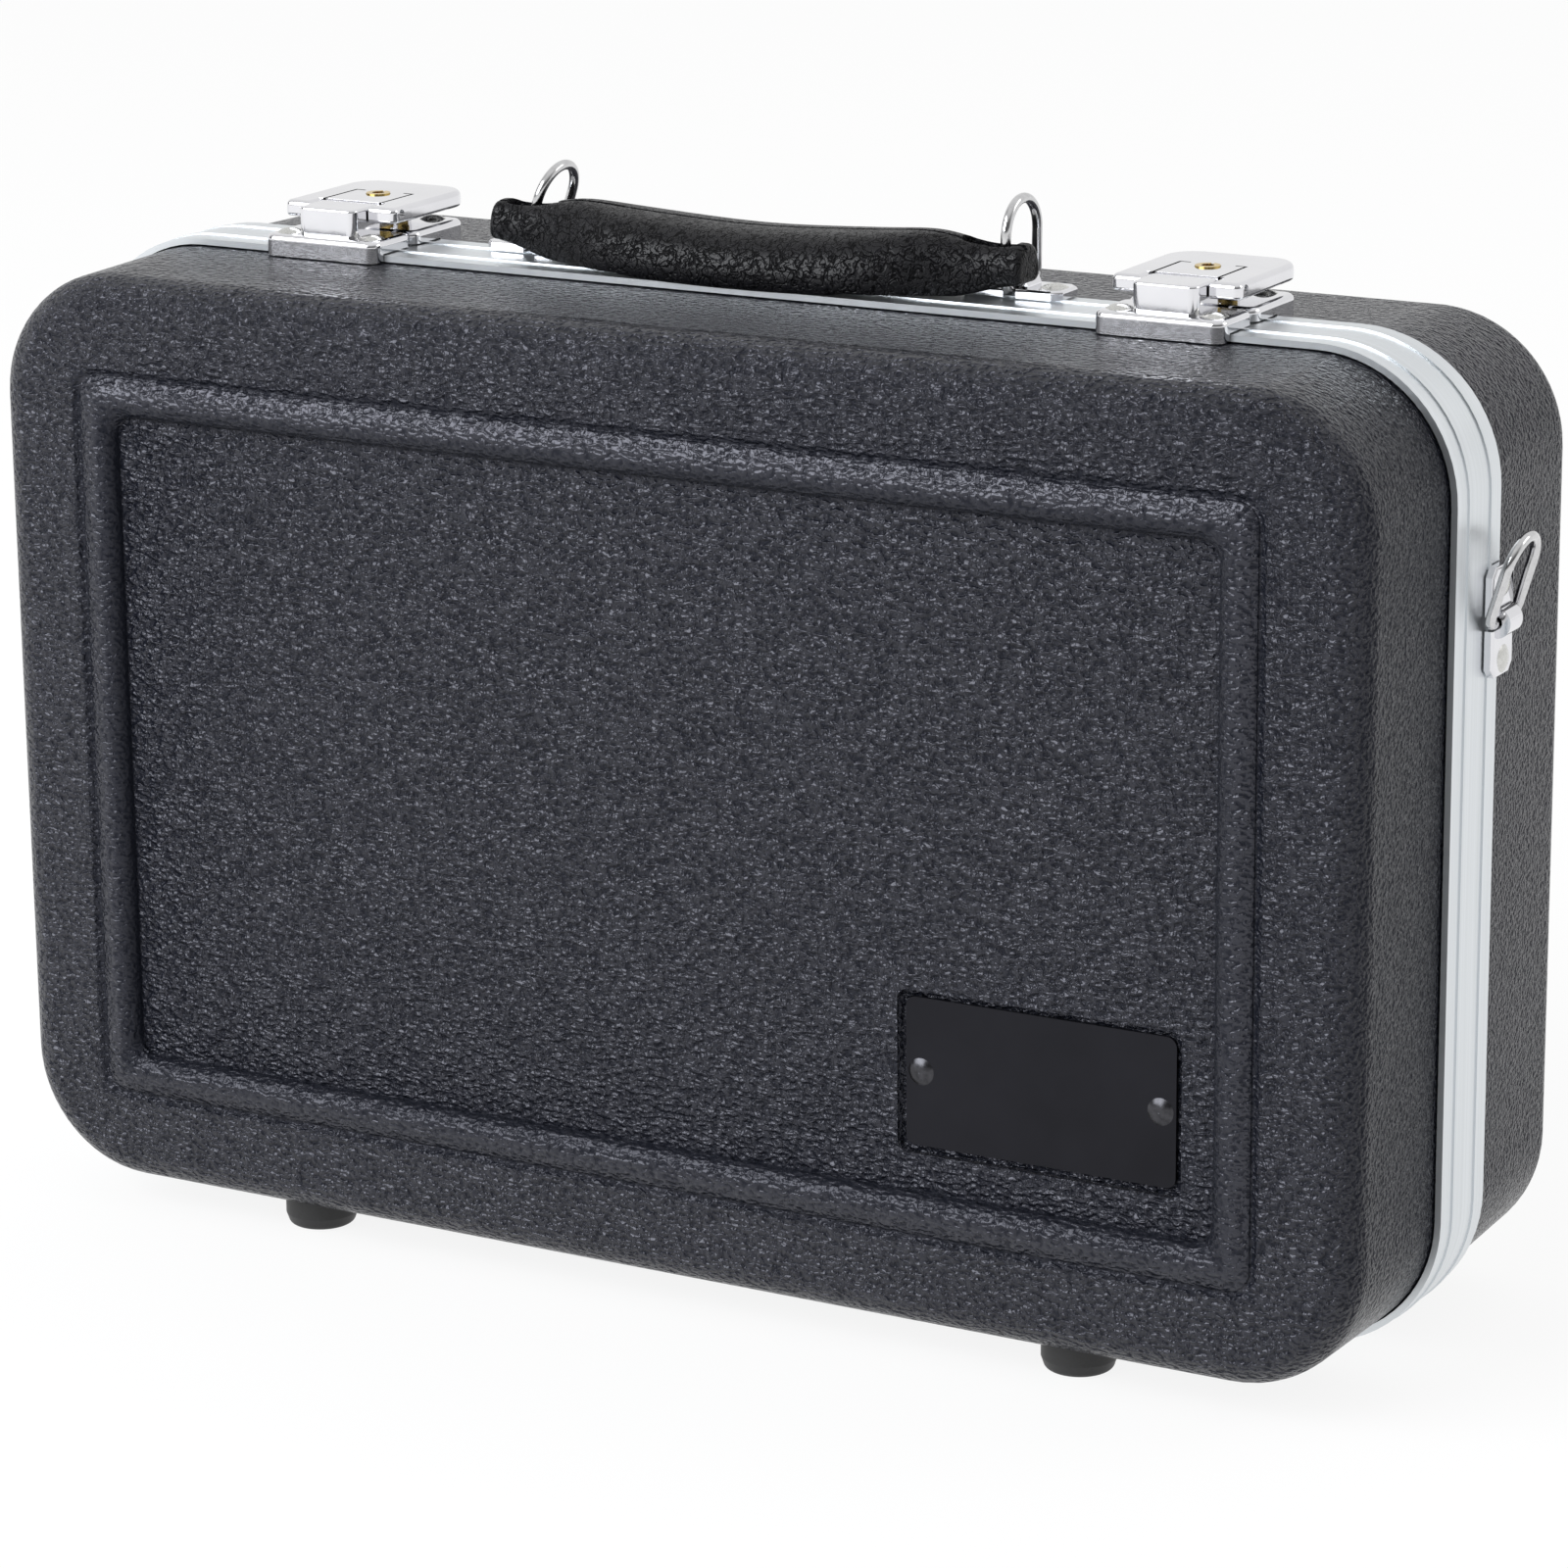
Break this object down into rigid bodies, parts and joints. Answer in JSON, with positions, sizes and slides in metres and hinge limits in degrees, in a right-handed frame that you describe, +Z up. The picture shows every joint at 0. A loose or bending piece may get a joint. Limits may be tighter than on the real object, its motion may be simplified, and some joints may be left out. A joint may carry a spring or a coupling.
{
  "type": "clarinet case",
  "caption": "Hard clarinet case with hinged lid, aluminium rims, flip latches with key locks, slotted handle on wire rings, strap rings and a fitted lining.",
  "frame": {"origin": "on the ground under the middle of the case as it stands on its feet, halfway between the two large faces", "axes": "+Z up, +X along the case to the right seen from the lid, the lid faces -Y and the base faces +Y"},
  "size_m": [0.3922, 0.1254, 0.2683],
  "materials": {
    "shell": "textured moulded plastic, charcoal",
    "rim": "satin extruded aluminium",
    "liner": "black plush over foam",
    "plate": "satin black plate",
    "black_rivet": "black dome rivets",
    "chrome": "bright nickel and chrome plate",
    "steel": "polished steel wire and rivets",
    "brass": "brass key cylinder",
    "rubber": "black rubber",
    "handle": "black moulded handle with leather grain"
  },
  "bodies": {
    "base": {"base_shell": "shell", "base_rim": "rim", "base_liner": "liner", "foot_back_left": "rubber", "foot_back_right": "rubber", "foot_rivets_base": "steel", "hinge_leaf_base_left": "steel", "hinge_leaf_base_right": "steel", "hinge_pin_left": "steel", "hinge_pin_right": "steel", "hinge_rivets_base": "steel", "latch_keeper_left": "chrome", "latch_keeper_right": "chrome", "keeper_rivets": "steel", "handle_bracket_left": "chrome", "handle_bracket_right": "chrome", "handle_bracket_rivets": "steel", "strap_bracket_left": "chrome", "strap_bracket_right": "chrome", "strap_bracket_rivets_left": "steel", "strap_bracket_rivets_right": "steel"},
    "lid": {"lid_shell": "shell", "lid_rim": "rim", "lid_pad": "liner", "name_plate": "plate", "name_plate_rivets": "black_rivet", "foot_front_left": "rubber", "foot_front_right": "rubber", "foot_rivets_lid": "steel", "hinge_leaf_lid_left": "steel", "hinge_leaf_lid_right": "steel", "hinge_rivets_lid": "steel", "latch_plate_left": "chrome", "latch_plate_right": "chrome", "latch_plate_rivets": "steel", "latch_pin_left": "steel", "latch_pin_right": "steel"},
    "lever_left": {"latch_lever_left": "chrome"},
    "lever_right": {"latch_lever_right": "chrome"},
    "lock_left": {"lock_core_left": "brass"},
    "lock_right": {"lock_core_right": "brass"},
    "handle": {"handle_grip": "handle"},
    "handle_loop_left": {"handle_ring_left": "steel"},
    "handle_loop_right": {"handle_ring_right": "steel"},
    "strap_loop_left": {"strap_ring_left": "steel"},
    "strap_loop_right": {"strap_ring_right": "steel"}
  },
  "joints": [
    {"name": "lid_hinge", "type": "hinge", "parent": "base", "child": "lid", "pos_m": [0, -0.00275, 0.0033], "axis": [1, 0, 0], "range_deg": [0, 105]},
    {"name": "handle_lift", "type": "slide", "parent": "base", "child": "handle", "axis": [0, 0, 1], "range_m": [0, 0.004]},
    {"name": "latch_flip_left", "type": "hinge", "parent": "lid", "child": "lever_left", "pos_m": [-0.114, -0.00735, 0.253], "axis": [1, 0, 0], "range_deg": [0, 95]},
    {"name": "key_turn_left", "type": "hinge", "parent": "lever_left", "child": "lock_left", "pos_m": [-0.114, 0.00695, 0.2548], "axis": [0, 0, 1], "range_deg": [0, 90]},
    {"name": "latch_flip_right", "type": "hinge", "parent": "lid", "child": "lever_right", "pos_m": [0.114, -0.00735, 0.253], "axis": [1, 0, 0], "range_deg": [0, 95]},
    {"name": "key_turn_right", "type": "hinge", "parent": "lever_right", "child": "lock_right", "pos_m": [0.114, 0.00695, 0.2548], "axis": [0, 0, 1], "range_deg": [0, 90]},
    {"name": "handle_ring_swing_left", "type": "hinge", "parent": "base", "child": "handle_loop_left", "pos_m": [-0.066, 0.00645, 0.2462], "axis": [0, 1, 0], "range_deg": [-26, 6]},
    {"name": "handle_ring_swing_right", "type": "hinge", "parent": "base", "child": "handle_loop_right", "pos_m": [0.066, 0.00645, 0.2462], "axis": [0, 1, 0], "range_deg": [-26, 6]},
    {"name": "strap_ring_swing_left", "type": "hinge", "parent": "base", "child": "strap_loop_left", "pos_m": [-0.1887, 0.00645, 0.1795], "axis": [0, 1, 0], "range_deg": [-160, 15]},
    {"name": "strap_ring_swing_right", "type": "hinge", "parent": "base", "child": "strap_loop_right", "pos_m": [0.1887, 0.00645, 0.1795], "axis": [0, 1, 0], "range_deg": [-15, 160]}
  ]
}
